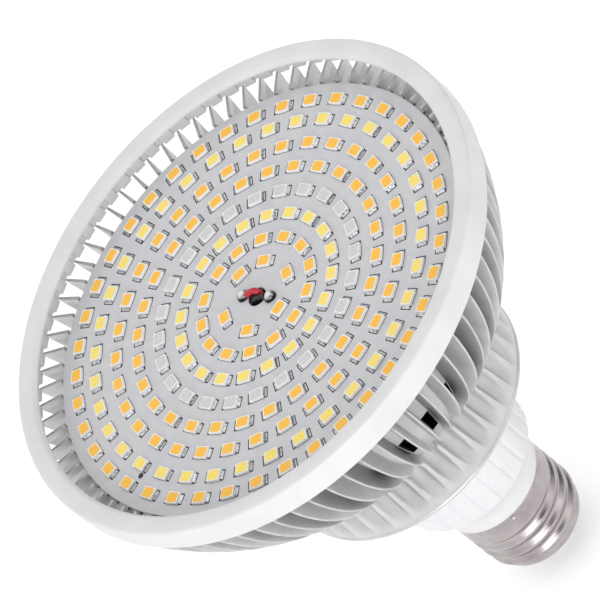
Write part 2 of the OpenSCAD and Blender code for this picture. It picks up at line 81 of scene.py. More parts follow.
def grain(material, where, size, low, high, detail=2.0):
    """Noise with patches of a size in millimetres, mapped to a range of values."""
    noise = add(material, "ShaderNodeTexNoise", Vector=where, Scale=1 / size, Detail=detail)
    return add(material, "ShaderNodeMapRange", Value=noise.outputs["Fac"], i1=0.3, i2=0.7,
               i3=low, i4=high).outputs["Result"]


def tint(material, fac, first, second):
    """Mix of two hex colours."""
    return add(material, "ShaderNodeMix", {"data_type": "RGBA"}, i0=fac, i6=colour(first),
               i7=colour(second)).outputs[2]


def bumps(material, shaded, height, depth):
    """Bump of a depth in millimetres."""
    bump = add(material, "ShaderNodeBump", Strength=1.0, Distance=depth / 1000, Height=height)
    join(material, bump.outputs["Normal"], shaded, "Normal")


def piece(name, bm, materials, slot, *replaced, sharp=40):
    """Turns a bmesh in millimetres into a piece that rides on the lamp and stands for CAD nodes."""
    bmesh.ops.scale(bm, vec=(0.001, 0.001, 0.001), verts=bm.verts)
    mesh = bpy.data.meshes.new(name)
    bm.to_mesh(mesh)
    bm.free()
    mesh.polygons.foreach_set("use_smooth", [True] * len(mesh.polygons))
    mesh.set_sharp_from_angle(angle=math.radians(sharp))
    for material in materials:
        mesh.materials.append(material)
    made = bpy.data.objects.new(name, mesh)
    scene.collection.objects.link(made)
    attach(made, "root")
    if replaced:
        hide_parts(*replaced)
    return made


def lathe(bm, outline, steps, closed=True):
    """Turns an outline of (radius, height) about the lamp's axis."""
    ring = [bm.verts.new((r, 0, z)) for r, z in outline]
    pairs = zip(ring, ring[1:] + ring[:1]) if closed else zip(ring, ring[1:])
    edges = [bm.edges.new(pair) for pair in pairs]
    bmesh.ops.spin(bm, geom=ring + edges, cent=(0, 0, 0), axis=(0, 0, 1), dvec=(0, 0, 0),
                   angle=2 * math.pi, steps=steps, use_merge=True)
    bmesh.ops.remove_doubles(bm, verts=bm.verts, dist=1e-4)
    bmesh.ops.recalc_face_normals(bm, faces=bm.faces)


def curve(a, b, c, t):
    """Point at t on a quadratic curve from a, drawn towards b, to c."""
    return tuple((1 - t) ** 2 * p + 2 * t * (1 - t) * q + t * t * s for p, q, s in zip(a, b, c))


def rounded(half_x, half_y, radius, z):
    """Points of a rectangle with round corners at a height."""
    points = []
    for sx, sy, start in ((1, -1, -90), (1, 1, 0), (-1, 1, 90), (-1, -1, 180)):
        for i in range(4):
            a = math.radians(start + 30 * i)
            points.append((sx * (half_x - radius) + radius * math.cos(a),
                           sy * (half_y - radius) + radius * math.sin(a), z))
    return points


def loft(bm, loops):
    """Skins a stack of loops with equal numbers of points and closes the last one."""
    rings = [[bm.verts.new(point) for point in loop] for loop in loops]
    for low, high in zip(rings, rings[1:]):
        for k, corner in enumerate(low):
            n = (k + 1) % len(low)
            bm.faces.new((corner, low[n], high[n], high[k]))
    bm.faces.new(rings[-1])
    bmesh.ops.recalc_face_normals(bm, faces=bm.faces)


def eased(value, low, high):
    """0 below low, 1 above high, with a smooth step between."""
    t = min(1.0, max(0.0, (value - low) / (high - low)))
    return t * t * (3 - 2 * t)


# ---------------------------------------------------------------- heat sink
# One aluminium casting that carries the lamp: 80 thin fins on a bowl-shaped
# wall, a vent window in every second space between them, a smooth waist and a
# drum with scooped flutes. Bead blasted after casting, so it is satin.
cast, cast_shader, where = surface("cast_aluminium_bead_blasted", Metallic=0.45, Roughness=0.33)
# Slow tone changes over a few millimetres, and painted shade: the metal is painted dark
# on the fin sides and floors in the vent spaces and, a little, in the flutes' scoops
painted_shade = add(cast, "ShaderNodeAttribute", {"attribute_name": "painted_shade"})
tone_and_painted_shade = add(cast, "ShaderNodeMix", {"data_type": "RGBA"}, i0=painted_shade.outputs["Fac"],
             i6=tint(cast, grain(cast, where, 6.0, 0, 1), "cacacc", "d8d8d9"), i7=colour("3f4043"))
join(cast, tone_and_painted_shade.outputs[2], cast_shader, "Base Color")
join(cast, grain(cast, where, 1.2, 0.28, 0.38), cast_shader, "Roughness")
bumps(cast, cast_shader, grain(cast, where, 0.22, 0, 1), 0.008)
# The inside of the wall, seen through the windows, is painted near black: painted shade
shade_inside, shade_inside_shader, where = surface("cast_aluminium_painted_shade_inside", Metallic=0.3, Roughness=0.7)
join(shade_inside, tint(shade_inside, grain(shade_inside, where, 3.0, 0, 1), "242426", "333336"), shade_inside_shader, "Base Color")

fins = 80
pitch = 2 * math.pi / fins
half_t = 0.45
bm = bmesh.new()

# Outer envelope from the fins' top to the drum's lip, and the floor between the fins
rows = []
floor_top, floor_mid, floor_end = (51.5, 112.7), (48.5, 92.7), (31.7, 76.4)
window_top, window_low = 96.8, 86.5
steps = [0.93 * i / 42 for i in range(43)]
floor_z = [curve(floor_top, floor_mid, floor_end, t)[1] for t in steps]
for edge in (window_top, window_low):
    # The nearest row is moved onto the window's edge
    near = min(range(len(steps)), key=lambda i: abs(floor_z[i] - edge))
    low, high = 0.0, 1.0
    for _ in range(30):
        middle = (low + high) / 2
        if curve(floor_top, floor_mid, floor_end, middle)[1] > edge:
            low = middle
        else:
            high = middle
    steps[near] = low
    floor_z[near] = edge
for t in steps:
    outer = curve((60.6, 114.5), (53.4, 89.6), (32.7, 77.0), 0.0365 + 0.9635 * t)
    floor = curve(floor_top, floor_mid, floor_end, t)
    rows.append((outer, floor, t))
waist_row = len(rows) - 1
start = rows[-1][0]
for i in range(1, 15):
    rows.append((curve(start, (32.9, 77.4), (32.44, 73.5), i / 14), None, 1.0))
for i in range(1, 25):
    t = 0.19 + (1 - 0.19) * i / 24
    rows.append((curve((31.7, 76.4), (34.05, 68.6), (32.2, 61.9), t), None, 1.0))
for r, z in ((32.15, 61.75), (32.3, 61.55), (32.4, 61.3), (32.38, 61.0), (32.2, 60.82), (31.9, 60.8),
             (29.6, 60.8)):
    rows.append(((r, z), None, 1.0))

# Columns across one window space, a fin, a plain space and a fin
keys = [(0, 0)] + [(k, 1) for k in (2, 3, 4, 5, 6)] + [(7, 1)] + [(k, 1) for k in (6, 5, 4, 3, 2)] \
    + [(0, 2)] + [(k, 3) for k in (2, 3, 4, 5, 6)] + [(7, 3)] + [(k, 3) for k in (6, 5, 4, 3, 2)]
columns = []
for number, (key, at) in enumerate(keys):
    if key == 0:
        columns.append((key, at * pitch / 2, 0, at == 0))
    else:
        side = -1 if number < (6 if at == 1 else 18) else 1
        windowed = (at == 1) == (side < 0)
        columns.append((key, at * pitch / 2, side if key != 7 else 0, windowed))
grid = []
windows = []
path = 0.0
before = rows[waist_row][0]
for index, (outer, floor, t) in enumerate(rows):
    if index > waist_row:
        path += math.dist(outer, before)
        before = outer
    line = []
    for key, angle, side, windowed in columns:
        if floor:
            flat = floor
        else:
            flat = (outer[0] - 1.65, outer[1] - 0.3)
        deep = math.dist(outer, flat)
        inward = ((flat[0] - outer[0]) / deep, (flat[1] - outer[1]) / deep)
        fillet = 0.18 if windowed else 0.45
        # A fin is drafted: full thickness at its root and a thin, blunt tip
        across = {0: 0, 2: half_t + fillet, 3: half_t + 0.3 * fillet, 4: half_t, 5: 0.26,
                  6: 0.17, 7: 0}[key]
        depth = {0: deep, 2: deep, 3: deep - 0.3 * fillet, 4: deep - fillet, 5: 0.35, 6: 0.07,
                 7: 0}[key]
        # Lateral distance from the middle of the nearest window space
        turn = angle + side * across / outer[0]
        y = abs((turn + pitch) % (2 * pitch) - pitch) * outer[0]
        if windowed or key == 7:
            depth *= 1 - eased(path, 4.5, 9.0)
        else:
            end = 3.6 if key == 0 else (3.2 if key == 2 else 2.7)
            depth *= 1 - eased(path, end, end + 1.0)
        scoop = 0.0
        if index > waist_row and outer[1] < 78:
            lowest = 30.2 + (77.4 - outer[1]) * math.tan(math.radians(8.0))
            bite = outer[0] - lowest - (2 - math.sqrt(max(0.0, 4 - y * y)))
            bite = -1.0 if y >= 2 else bite
            scoop = 0.5 * (bite + math.sqrt(bite * bite + 0.02)) * eased(path, 0.5, 4.5)
            scoop = scoop if outer[1] > 62.0 else 0.0
        depth = max(depth, scoop)
        radius = outer[0] + inward[0] * depth
        height = outer[1] + inward[1] * depth
        # Painted shade: in the window spaces it is strongest at the fin roots and at window height;
        # elsewhere it follows the depth of the flutes' scoops
        painted_shade_amount = {0: 0.1, 2: 0.35, 3: 0.7, 4: 1.0, 5: 0.6, 6: 0.2, 7: 0}[key]
        if windowed and floor:
            painted_shade_amount *= 0.35 + 0.5 * max(0.0, 1 - abs(outer[1] - 91) / 9) * eased(outer[1], 78, 84)
        else:
            painted_shade_amount = 0.2 * min(1.0, scoop)
        line.append((radius, side * across, height, angle, painted_shade_amount))
    grid.append(line)
wide = len(columns) * fins // 2
painted_shade_layer = bm.verts.layers.float.new("painted_shade")
made = []
for line in grid:
    ring = []
    for module in range(fins // 2):
        for radius, off, height, angle, painted_shade_amount in line:
            a = angle + module * 2 * pitch
            ring.append(bm.verts.new((radius * math.cos(a) - off * math.sin(a),
                                      radius * math.sin(a) + off * math.cos(a), height)))
            ring[-1][painted_shade_layer] = painted_shade_amount
    made.append(ring)
first, last = floor_z.index(window_top), floor_z.index(window_low)
left, right = len(columns) - 1, 1
for r in range(len(made) - 1):
    for c in range(wide):
        column = c % len(columns)
        if first <= r < last and column in (left, 0):
            continue
        bm.faces.new((made[r][c], made[r + 1][c], made[r + 1][(c + 1) % wide], made[r][(c + 1) % wide]))

# Inside of the wall, with the tunnels of the windows, in aluminium painted near black as painted shade
inner_rows = []
for r in range(first, last + 1, 1):
    inner_rows.append([(made[r][m * len(columns) + k].co.copy()) for m in range(fins // 2)
                       for k in (-1, 0, 1)])
inside = []
for r, ring in enumerate(inner_rows):
    line = []
    for co in ring:
        flat = Vector((co.x, co.y, 0))
        line.append(bm.verts.new(co - flat.normalized() * 2))
    inside.append(line)
above, below = [], []
for r_z in ((49.6, 109.7), (48.6, 105), (47, 101)):
    above.append([bm.verts.new(Vector((v.co.x, v.co.y, 0)).normalized() * r_z[0]
                               + Vector((0, 0, r_z[1]))) for v in inside[0]])
for r_z in ((36, 82), (32.4, 78.6), (29.65, 76), (29.6, 60.8)):
    below.append([bm.verts.new(Vector((v.co.x, v.co.y, 0)).normalized() * r_z[0]
                               + Vector((0, 0, r_z[1]))) for v in inside[-1]])
dark = []
skin = above + inside + below
for r in range(len(skin) - 1):
    n = len(skin[r])
    for c in range(n):
        hole = len(above) <= r < len(above) + len(inside) - 1 and c % 3 in (0, 1)
        if not hole:
            dark.append(bm.faces.new((skin[r][c], skin[r][(c + 1) % n], skin[r + 1][(c + 1) % n],
                                      skin[r + 1][c])))
for m in range(fins // 2):
    base = m * len(columns)
    for r in range(first, last):
        for k, i in ((-1, 0), (1, 2)):
            dark.append(bm.faces.new((made[r][base + k], made[r + 1][base + k],
                                      inside[r + 1 - first][3 * m + i], inside[r - first][3 * m + i])))
    for r in (first, last):
        for k, i in ((-1, 0), (0, 1)):
            dark.append(bm.faces.new((made[r][base + k], made[r][base + k + 1],
                                      inside[r - first][3 * m + i + 1], inside[r - first][3 * m + i])))
for face in dark:
    face.material_index = 1
# Plate on which the board lies, and the tops of the fins round it
lathe_top = [bm.verts.new((51.4 * math.cos(i * pitch), 51.4 * math.sin(i * pitch), 112.7))
             for i in range(fins)]
lathe_hole = [bm.verts.new((4 * math.cos(i * pitch), 4 * math.sin(i * pitch), 112.7))
              for i in range(fins)]
for i in range(fins):
    j = (i + 1) % fins
    bm.faces.new((lathe_top[i], lathe_top[j], lathe_hole[j], lathe_hole[i]))
for i in range(fins):
    a = (i + 0.5) * pitch
    shape = [(53.9, -0.45), (59.8, -0.3), (60.4, -0.17), (60.58, 0), (60.4, 0.17), (59.8, 0.3),
             (53.9, 0.45)]
    levels = []
    for z, inset in ((112.6, 0.47), (114.4, 0.04), (114.5, 0.13)):
        levels.append([])
        for r, off in shape:
            r = r - (0 if r < 55 else inset)
            off = off - (math.copysign(min(inset, abs(off)), off) if z > 114.45 else 0)
            levels[-1].append(bm.verts.new((r * math.cos(a) - off * math.sin(a),
                                            r * math.sin(a) + off * math.cos(a), z)))
    for low, high in zip(levels, levels[1:]):
        for k in range(len(shape)):
            n = (k + 1) % len(shape)
            bm.faces.new((low[k], low[n], high[n], high[k]))
    bm.faces.new(levels[-1])
bmesh.ops.recalc_face_normals(bm, faces=bm.faces)
casting = piece("casting", bm, [cast, shade_inside], "cast_aluminium", "heat_sink", sharp=50)

# ---------------------------------------------------------------- front ring
# White moulded ring pressed over the fins. Its flat face covers the gap round
# the board, its back edge is plain, and short tabs stiffen the wall inside.
white, white_shader, where = surface("white_moulded_plastic", Roughness=0.38, IOR=1.5)
join(white, tint(white, grain(white, where, 9.0, 0, 1), "eaeaec", "f1f1f2"), white_shader,
     "Base Color")
bumps(white, white_shader, grain(white, where, 0.35, 0, 1), 0.006)
bm = bmesh.new()
corner = [curve((60.2, 120.9), (61, 120.9), (61, 120.1), i / 5) for i in range(6)]
lip = [(57.15, 120.9), (56.98, 120.83), (56.32, 120.17), (56.2, 120.0)]
outline = corner + [(61, 114.65), (60.85, 114.5), (60.05, 114.5), (59.9, 114.65), (59.9, 118.9),
                    (59.5, 119.3), (56.5, 119.3), (56.2, 119.55)] + lip[::-1]
lathe(bm, outline, 240)
for i in range(fins):
    a = i * pitch
    block = bmesh.ops.create_cube(bm, size=1, matrix=Matrix.Rotation(a, 4, "Z")
                                  @ Matrix.Translation((59.5, 0, 117.0))
                                  @ Matrix.Diagonal((1.2, 2.9, 4.9, 1)))
    edges = {e for v in block["verts"] for e in v.link_edges}
    bmesh.ops.bevel(bm, geom=list(edges), offset=0.2, segments=2, affect="EDGES", profile=0.5,
                    material=-1)
bmesh.ops.recalc_face_normals(bm, faces=bm.faces)
piece("front_ring", bm, [white], "ring_plastic", "bezel_ring", sharp=35)

# ---------------------------------------------------------------- board
# Round aluminium circuit board, 1.2 mm thick, with a pale mask over wide copper
# lands, a hole for the wires and a small locating hole. It lies on a soft pad.
mask, mask_shader, where = surface("board_mask_pale_grey", Roughness=0.34, IOR=1.5)
# The copper's edges show through the mask as faint lines, drawn as the edges of irregular cells
polar = add(mask, "ShaderNodeSeparateXYZ", Vector=where)
distance = add(mask, "ShaderNodeVectorMath", {"operation": "LENGTH"}, i0=where)
lands = add(mask, "ShaderNodeTexVoronoi", {"feature": "DISTANCE_TO_EDGE"}, Vector=where,
            Scale=1 / 5.8, Randomness=0.75)
edge = add(mask, "ShaderNodeMapRange", Value=lands.outputs["Distance"], i1=0.0, i2=0.09, i3=1.0,
           i4=0.0)
patches = add(mask, "ShaderNodeMath", {"operation": "MULTIPLY"}, i0=edge.outputs["Result"], i1=0.2)
mixed = add(mask, "ShaderNodeMath", {"operation": "ADD", "use_clamp": True},
            i0=patches.outputs[0], i1=grain(mask, where, 3.5, 0, 0.45))
join(mask, tint(mask, mixed.outputs[0], "d8d8dc", "e3e3e5"), mask_shader, "Base Color")
bumps(mask, mask_shader, grain(mask, where, 0.3, 0, 1), 0.004)
bare, bare_shader, where = surface("board_edge_bare_aluminium", Metallic=1.0, Roughness=0.35)
join(bare, tint(bare, grain(bare, where, 0.6, 0, 1), "b4b5b8", "cfd0d2"), bare_shader, "Base Color")
bm = bmesh.new()
lathe(bm, [(2.2, 113.0), (53.4, 113.0), (53.5, 113.1), (53.5, 114.08), (53.38, 114.2),
           (2.35, 114.2), (2.2, 114.08)], 160)
for face in bm.faces:
    if abs(face.normal.z) < 0.9:
        face.material_index = 1
piece("circuit_board", bm, [mask, bare], "board_metal", "led_board", sharp=30)

# ---------------------------------------------------------------- locating hole
# Small drilled hole near the board's rim; the pin of the jig's size that sits in it is not drawn.
dark_hole, dark_shader, where = surface("hole_in_shadow", Roughness=0.8)
join(dark_hole, tint(dark_hole, grain(dark_hole, where, 0.5, 0, 1), "2a2a2c", "4a4a4d"),
     dark_shader, "Base Color")
bm = bmesh.new()
a = math.radians(212.7)
bmesh.ops.create_cone(bm, cap_ends=True, segments=32, radius1=0.95, radius2=0.95, depth=0.02,
                      matrix=Matrix.Translation((46.3 * math.cos(a), 46.3 * math.sin(a), 114.215)))
# The hole is a flat disc: its dark centre is painted shade standing in for the hole's depth
rim = [f for f in bm.faces if f.normal.z > 0.9]
inner = bmesh.ops.inset_region(bm, faces=rim, thickness=0.25)
for face in rim:
    face.material_index = 1
piece("locating_hole", bm, [bare, dark_hole], "board_metal")

# ---------------------------------------------------------------- diodes
# 200 surface-mounted diodes in eight rings, each a white moulded body of 3.5 by
# 2.8 mm with resin in its window, soldered by both ends to pads on the board.
white_body, body_shader, where = surface("diode_body_white_plastic", Roughness=0.35)
join(white_body, tint(white_body, grain(white_body, where, 1.5, 0, 1), "fdfdfc", "ffffff"),
     body_shader, "Base Color")
places = []
for radius, count, kind in zip((8.7, 14.6, 20.5, 26.4, 32.3, 38.2, 44.1, 49.2),
                               (6, 14, 20, 24, 28, 32, 36, 40), (0, 0, 1, 2, 0, 0, 1, 0)):
    for i in range(count):
        back = 0.5 * (4.6 if radius < 10 else 1) if i == 0 else 0
        a = math.radians(120.5) + i * 2 * math.pi / count - back / radius
        places.append((Matrix.Rotation(a, 4, "Z") @ Matrix.Translation((radius, 0, 114.2)), kind))


def repeated(template, matrices):
    """One bmesh with a copy of the template at each matrix."""
    mesh = bpy.data.meshes.new("template")
    template.to_mesh(mesh)
    template.free()
    whole = bmesh.new()
    for matrix in matrices:
        count = len(whole.verts)
        whole.from_mesh(mesh)
        whole.verts.ensure_lookup_table()
        bmesh.ops.transform(whole, matrix=matrix, verts=whole.verts[count:])
    bpy.data.meshes.remove(mesh)
    return whole


one = bmesh.new()
loft(one, [rounded(1.4, 1.75, 0.14, 0.1), rounded(1.4, 1.75, 0.14, 0.74),
           rounded(1.35, 1.7, 0.12, 0.8), rounded(1.17, 1.47, 0.47, 0.8),
           rounded(1.12, 1.42, 0.45, 0.66)])
piece("diode_bodies", repeated(one, [m for m, _ in places]), [white_body], "diode_plastic",
      "led_bodies", sharp=30)

# Resin in the windows, flat on top: two phosphors, and a clear kind whose chip
# is not drawn
for name, kind, base, light, node in (("orange_resin", 0, "ffbe38", "ffc957", "orange_windows"),
                                      ("yellow_resin", 1, "fbdc58", "ffeb90", "yellow_windows"),
                                      ("clear_resin", 2, "d6d7d9", "e9eaeb", "clear_windows")):
    # A little emission on the two phosphors is painted light, a glow of diodes that are off
    resin, resin_shader, where = surface("diode_" + name, Roughness=0.42, IOR=1.45,
                                         Emission_Color=colour(base),
                                         Emission_Strength=0.0 if kind == 2 else 0.14)
    join(resin, tint(resin, grain(resin, where, 0.5, 0, 1, 3.0), base, light), resin_shader,
         "Base Color")
    bumps(resin, resin_shader, grain(resin, where, 0.18, 0, 1), 0.01)
    one = bmesh.new()
    loft(one, [rounded(1.165, 1.465, 0.47, 0.7), rounded(1.14, 1.44, 0.46, 0.785)])
    piece(name, repeated(one, [m for m, k in places if k == kind]), [resin], name, node, sharp=60)

# Solder pads at both ends of each diode, tinned and a little hollow, each in a
# thin dark gap of bare laminate where the mask stops short of the pad. The dark sheet is
# also a little wider than each body, which paints a thin shadow line along its long sides
tin, tin_shader, where = surface("tin_solder_bright", Metallic=1.0, Roughness=0.25)
join(tin, tint(tin, grain(tin, where, 0.8, 0, 1), "aeafb3", "e4e5e6"), tin_shader, "Base Color")
join(tin, grain(tin, where, 0.5, 0.18, 0.38), tin_shader, "Roughness")
bumps(tin, tin_shader, grain(tin, where, 0.4, 0, 1), 0.03)
gap_and_shadow, gap_and_shadow_shader, where = surface("bare_laminate_and_painted_shadow", Roughness=0.6)
join(gap_and_shadow, tint(gap_and_shadow, grain(gap_and_shadow, where, 0.7, 0, 1), "1c1b1d", "343336"), gap_and_shadow_shader, "Base Color")
one = bmesh.new()
for side in (-1, 1):
    # The solder climbs the body's end in a steep fillet from a flat foot
    loft(one, [[(x, side * y, z) for x, y in ((-w, 1.7), (w, 1.7), (w, far), (-w, far))]
               for w, far, z in ((1.06, 2.4, 0.02), (1.03, 2.34, 0.06), (1.0, 2.16, 0.1),
                                 (0.98, 1.84, 0.5), (0.96, 1.76, 0.52))])
piece("diode_solder", repeated(one, [m for m, _ in places]), [tin], "solder", "led_solder",
      sharp=30)
# Dark sheet under each diode: bare laminate round the pads, and a painted shadow line beside the body
one = bmesh.new()
for half_x, low, high in ((1.36, -2.64, -1.6), (1.46, -1.82, 1.82), (1.36, 1.6, 2.64)):
    one.faces.new([one.verts.new((x * half_x, y, 0.012)) for x, y in
                   ((-1, low), (1, low), (1, high), (-1, high))])
piece("pad_gaps_and_painted_shadow", repeated(one, [m for m, _ in places]), [gap_and_shadow], "board_metal")

# ---------------------------------------------------------------- wire joints
# Two hand-soldered domes where the wires from the driver meet the board: tin
# that has frozen with a shiny, slightly lumpy skin.
dome, dome_shader, where = surface("tin_solder_dome", Metallic=1.0, Roughness=0.16)
# The foot of each dome is painted dark: a painted reflection of dark surroundings in the shiny tin
height = add(dome, "ShaderNodeSeparateXYZ", Vector=where)
painted_dark_foot = add(dome, "ShaderNodeMapRange", Value=height.outputs["Z"], i1=114.9, i2=115.6, i3=0.0, i4=1.0)
join(dome, tint(dome, painted_dark_foot.outputs["Result"], "343335", "e2e2e4"), dome_shader, "Base Color")
bumps(dome, dome_shader, grain(dome, where, 0.6, 0, 1), 0.05)
bm = bmesh.new()
for x, y in ((-3.06, 2.57), (3.06, -2.57)):
    made_dome = bmesh.ops.create_uvsphere(bm, u_segments=32, v_segments=20, radius=1.5,
                                          matrix=Matrix.Translation((x, y, 114.2))
                                          @ Matrix.Diagonal((1, 1, 1.0, 1)))
    for v in made_dome["verts"]:
        offset = v.co - Vector((x, y, 114.2))
        a = math.atan2(offset.y, offset.x)
        offset *= 1 + 0.05 * math.sin(3 * a + x) * (1 - max(0, offset.z) / 1.5)
        v.co = Vector((x, y, 114.2)) + Vector((offset.x, offset.y, max(0.01, offset.z)))
bmesh.ops.remove_doubles(bm, verts=bm.verts, dist=1e-4)
bmesh.ops.recalc_face_normals(bm, faces=bm.faces)
piece("wire_solder", bm, [dome], "solder", "solder_joints", sharp=60)

# ---------------------------------------------------------------- wires
# Two insulated wires that come up through the board's hole and bend over to
# their joints, red to the left one and black to the right one.
for name, sign, code, shade in (("red_wire", 1, "c3202e", "d8404b"), ("black_wire", -1, "1c1c1f", "303034")):
    skin_material, skin_shader, where = surface(name + "_insulation", Roughness=0.3)
    join(skin_material, tint(skin_material, grain(skin_material, where, 1.0, 0, 1), code, shade),
         skin_shader, "Base Color")
    bumps(skin_material, skin_shader, grain(skin_material, where, 0.3, 0, 1), 0.01)
    rise, off = (1.0, 0.9) if sign > 0 else (0.35, 0.78)
    route = [(0.5, off, -31), (0.5, off, -14), (0.5, off, -3), (0.3, off, 0.0),
             (-0.3, 0.9 * off, 1.1 * rise), (-1.1, 0.6 * off, 1.2 * rise),
             (-2.0, 0.3 * off, 0.3 + 0.6 * rise), (-2.75, 0.05, 0.6)]
    along, aside = Vector((0.766, -0.643, 0)), Vector((0.643, 0.766, 0))
    line = bpy.data.curves.new(name, "CURVE")
    line.dimensions = "3D"
    line.bevel_depth = 0.00074 if sign > 0 else 0.0006
    line.bevel_resolution = 5
    line.resolution_u = 8
    line.use_fill_caps = True
    spline = line.splines.new("BEZIER")
    spline.bezier_points.add(len(route) - 1)
    for point, (d, p, z) in zip(spline.bezier_points, route):
        point.co = (along * d + aside * p) * (sign / 1000) + Vector((0, 0, (114.2 + z) / 1000))
        point.handle_left_type = point.handle_right_type = "AUTO"
    made_wire = bpy.data.objects.new(name, line)
    scene.collection.objects.link(made_wire)
    line.materials.append(skin_material)
    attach(made_wire, "root")
    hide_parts("red_lead" if sign > 0 else "black_lead")

# ---------------------------------------------------------------- neck
# White moulded neck: a smooth flared foot above the cap, a band of 24 raised
# pads, the flange that closes the drum and the cup round the driver.
neck, neck_shader, where = surface("neck_moulded_plastic", Roughness=0.36, IOR=1.5)
join(neck, tint(neck, grain(neck, where, 7.0, 0, 1), "f2f1f4", "f9f8fa"), neck_shader, "Base Color")
bumps(neck, neck_shader, grain(neck, where, 0.4, 0, 1), 0.008)
bm = bmesh.new()
profile = [(12.7, 22.2), (12.7, 26.95), (13.3, 27.0), (13.4, 27.15), (13.4, 28.4)]
profile += [curve((13.4, 28.4), (13.8, 32), (17.6, 36.6), i / 14) for i in range(1, 15)]
profile += [(17.6, 36.7 + 0.1 * i) for i in range(0, 12)]
profile += [(17.6, 38 + i) for i in range(0, 21)]
profile += [(17.6, 58.4), (17.6, 58.6), (17.6, 58.8), (17.6, 59.2), (17.6, 61.2), (29.3, 61.2),
            (29.5, 61.4), (29.5, 63.0), (29.3, 63.2), (17.6, 63.2), (17.6, 86.8), (17.2, 87.2),
            (15.9, 87.2), (15.6, 86.9), (15.6, 37.6), (9.7, 34.6), (9.7, 22.2)]
pads, around = 24, 18
rings = []
for r, z in profile:
    ring = []
    for i in range(pads * around):
        a = 2 * math.pi * i / (pads * around)
        y = abs(((i / around) + 0.5) % 1 - 0.5) * 2 * math.pi * 17.6 / pads
        edge_y = eased(1.72 - y, -0.22, 0.22)
        edge_z = eased(z, 36.85, 37.35) * (1 - eased(z, 58.4, 59.0))
        rise = 0.6 * edge_y * edge_z if abs(r - 17.6) < 0.01 and z < 61 else 0
        ring.append(bm.verts.new(((r + rise) * math.cos(a), (r + rise) * math.sin(a), z)))
    rings.append(ring)
rings.append(rings[0])
for low, high in zip(rings, rings[1:]):
    for i in range(len(low)):
        j = (i + 1) % len(low)
        bm.faces.new((low[i], low[j], high[j], high[i]))
bmesh.ops.recalc_face_normals(bm, faces=bm.faces)
piece("neck", bm, [neck], "neck_plastic", "neck_housing", sharp=45)

# ---------------------------------------------------------------- screws
# Three zinc-plated pan-head screws with cross slots that hold the flange.
zinc, zinc_shader, where = surface("screw_zinc_plated", Metallic=1.0, Roughness=0.32)
join(zinc, tint(zinc, grain(zinc, where, 0.6, 0, 1), "a5a6aa", "c6c7c9"), zinc_shader, "Base Color")
bm = bmesh.new()
for i in range(3):
    a = math.radians(90 + 120 * i)
    at = Matrix.Translation((24.4 * math.cos(a), 24.4 * math.sin(a), 61.2))
    head = bmesh.ops.create_uvsphere(bm, u_segments=28, v_segments=14, radius=1,
                                     matrix=at @ Matrix.Diagonal((2.45, 2.45, 1.2, 1)))
    for v in head["verts"]:
        v.co.z = min(v.co.z, 61.19)
    for turn in (0, 90):
        bmesh.ops.create_cube(bm, size=1, matrix=at @ Matrix.Rotation(math.radians(turn), 4, "Z")
                              @ Matrix.Translation((0, 0, -1.19)) @ Matrix.Diagonal((2.4, 0.4, 0.06, 1)))
    bmesh.ops.create_cone(bm, cap_ends=True, segments=24, radius1=1.3, radius2=1.3, depth=5.6,
                          matrix=at @ Matrix.Translation((0, 0, 2.8)))
bmesh.ops.recalc_face_normals(bm, faces=bm.faces)
piece("flange_screws", bm, [zinc], "screw_steel", "neck_screws")

# ---------------------------------------------------------------- cap shell
# Nickel-plated brass sheet, rolled with a round thread. The collar above the
# thread is punched into the neck at nine places; the lower end turns inwards.
nickel, nickel_shader, where = surface("nickel_plated_rolled_brass", Metallic=1.0, Roughness=0.24)
join(nickel, tint(nickel, grain(nickel, where, 5.0, 0, 1), "a69e9f", "bab3b3"), nickel_shader,
     "Base Color")
# Rolling marks run round the shell: noise that is stretched along the turns
flattened = add(nickel, "ShaderNodeVectorMath", {"operation": "MULTIPLY"}, i0=where,
                i1=(0.12, 0.12, 5.0))
join(nickel, grain(nickel, flattened.outputs["Vector"], 1.0, 0.18, 0.33), nickel_shader,
     "Roughness")
bm = bmesh.new()
around = 240
low_z, top_z, pitch_z, turns = 8.93, 22.0, 3.63, 3.6
heights = [27.0, 26.9, 26.6] + [26.4 - 0.2 * i for i in range(13)] + [23.5, 23.0, 22.6, 22.3]
heights += [22.1 - 13.2 * i / 78 for i in range(79)]
rings = []
for z in heights:
    ring = []
    for i in range(around):
        a = 2 * math.pi * i / around
        if z >= 22.2:
            r = 13.1 - (0.25 if z > 26.95 else 0.06 if z > 26.8 else 0)
            for k in range(9):
                mark = math.radians(-79 + 40 * k)
                gone = math.hypot(((a - mark + math.pi) % (2 * math.pi) - math.pi) * 13.1, z - 25.7)
                r -= 0.42 * (1 - eased(gone, 0.1, 0.75))
        else:
            t = (z - low_z) / pitch_z
            low_fade, top_fade = eased(t, 0, 0.5), 1 - eased(t, turns - 0.35, turns + 0.02)
            wave = math.cos(2 * math.pi * (t - (a - math.radians(98)) / (2 * math.pi)))
            r = 12.65 + 0.45 * (wave * low_fade * top_fade - (1 - low_fade) + (1 - top_fade))
        ring.append(bm.verts.new((r * math.cos(a), r * math.sin(a), z)))
    rings.append(ring)
for r, z in [curve((12.2, 8.8), (11.8, 6.6), (10.1, 6.0), i / 10) for i in range(1, 11)] + [
        (9.6, 6.0), (9.5, 6.1), (9.5, 6.35)]:
    rings.append([bm.verts.new((r * math.cos(2 * math.pi * i / around),
                                r * math.sin(2 * math.pi * i / around), z)) for i in range(around)])
for low, high in zip(rings, rings[1:]):
    for i in range(around):
        j = (i + 1) % around
        bm.faces.new((low[i], low[j], high[j], high[i]))
bmesh.ops.recalc_face_normals(bm, faces=bm.faces)
piece("cap_shell", bm, [nickel], "nickel_plate", "screw_shell", sharp=50)

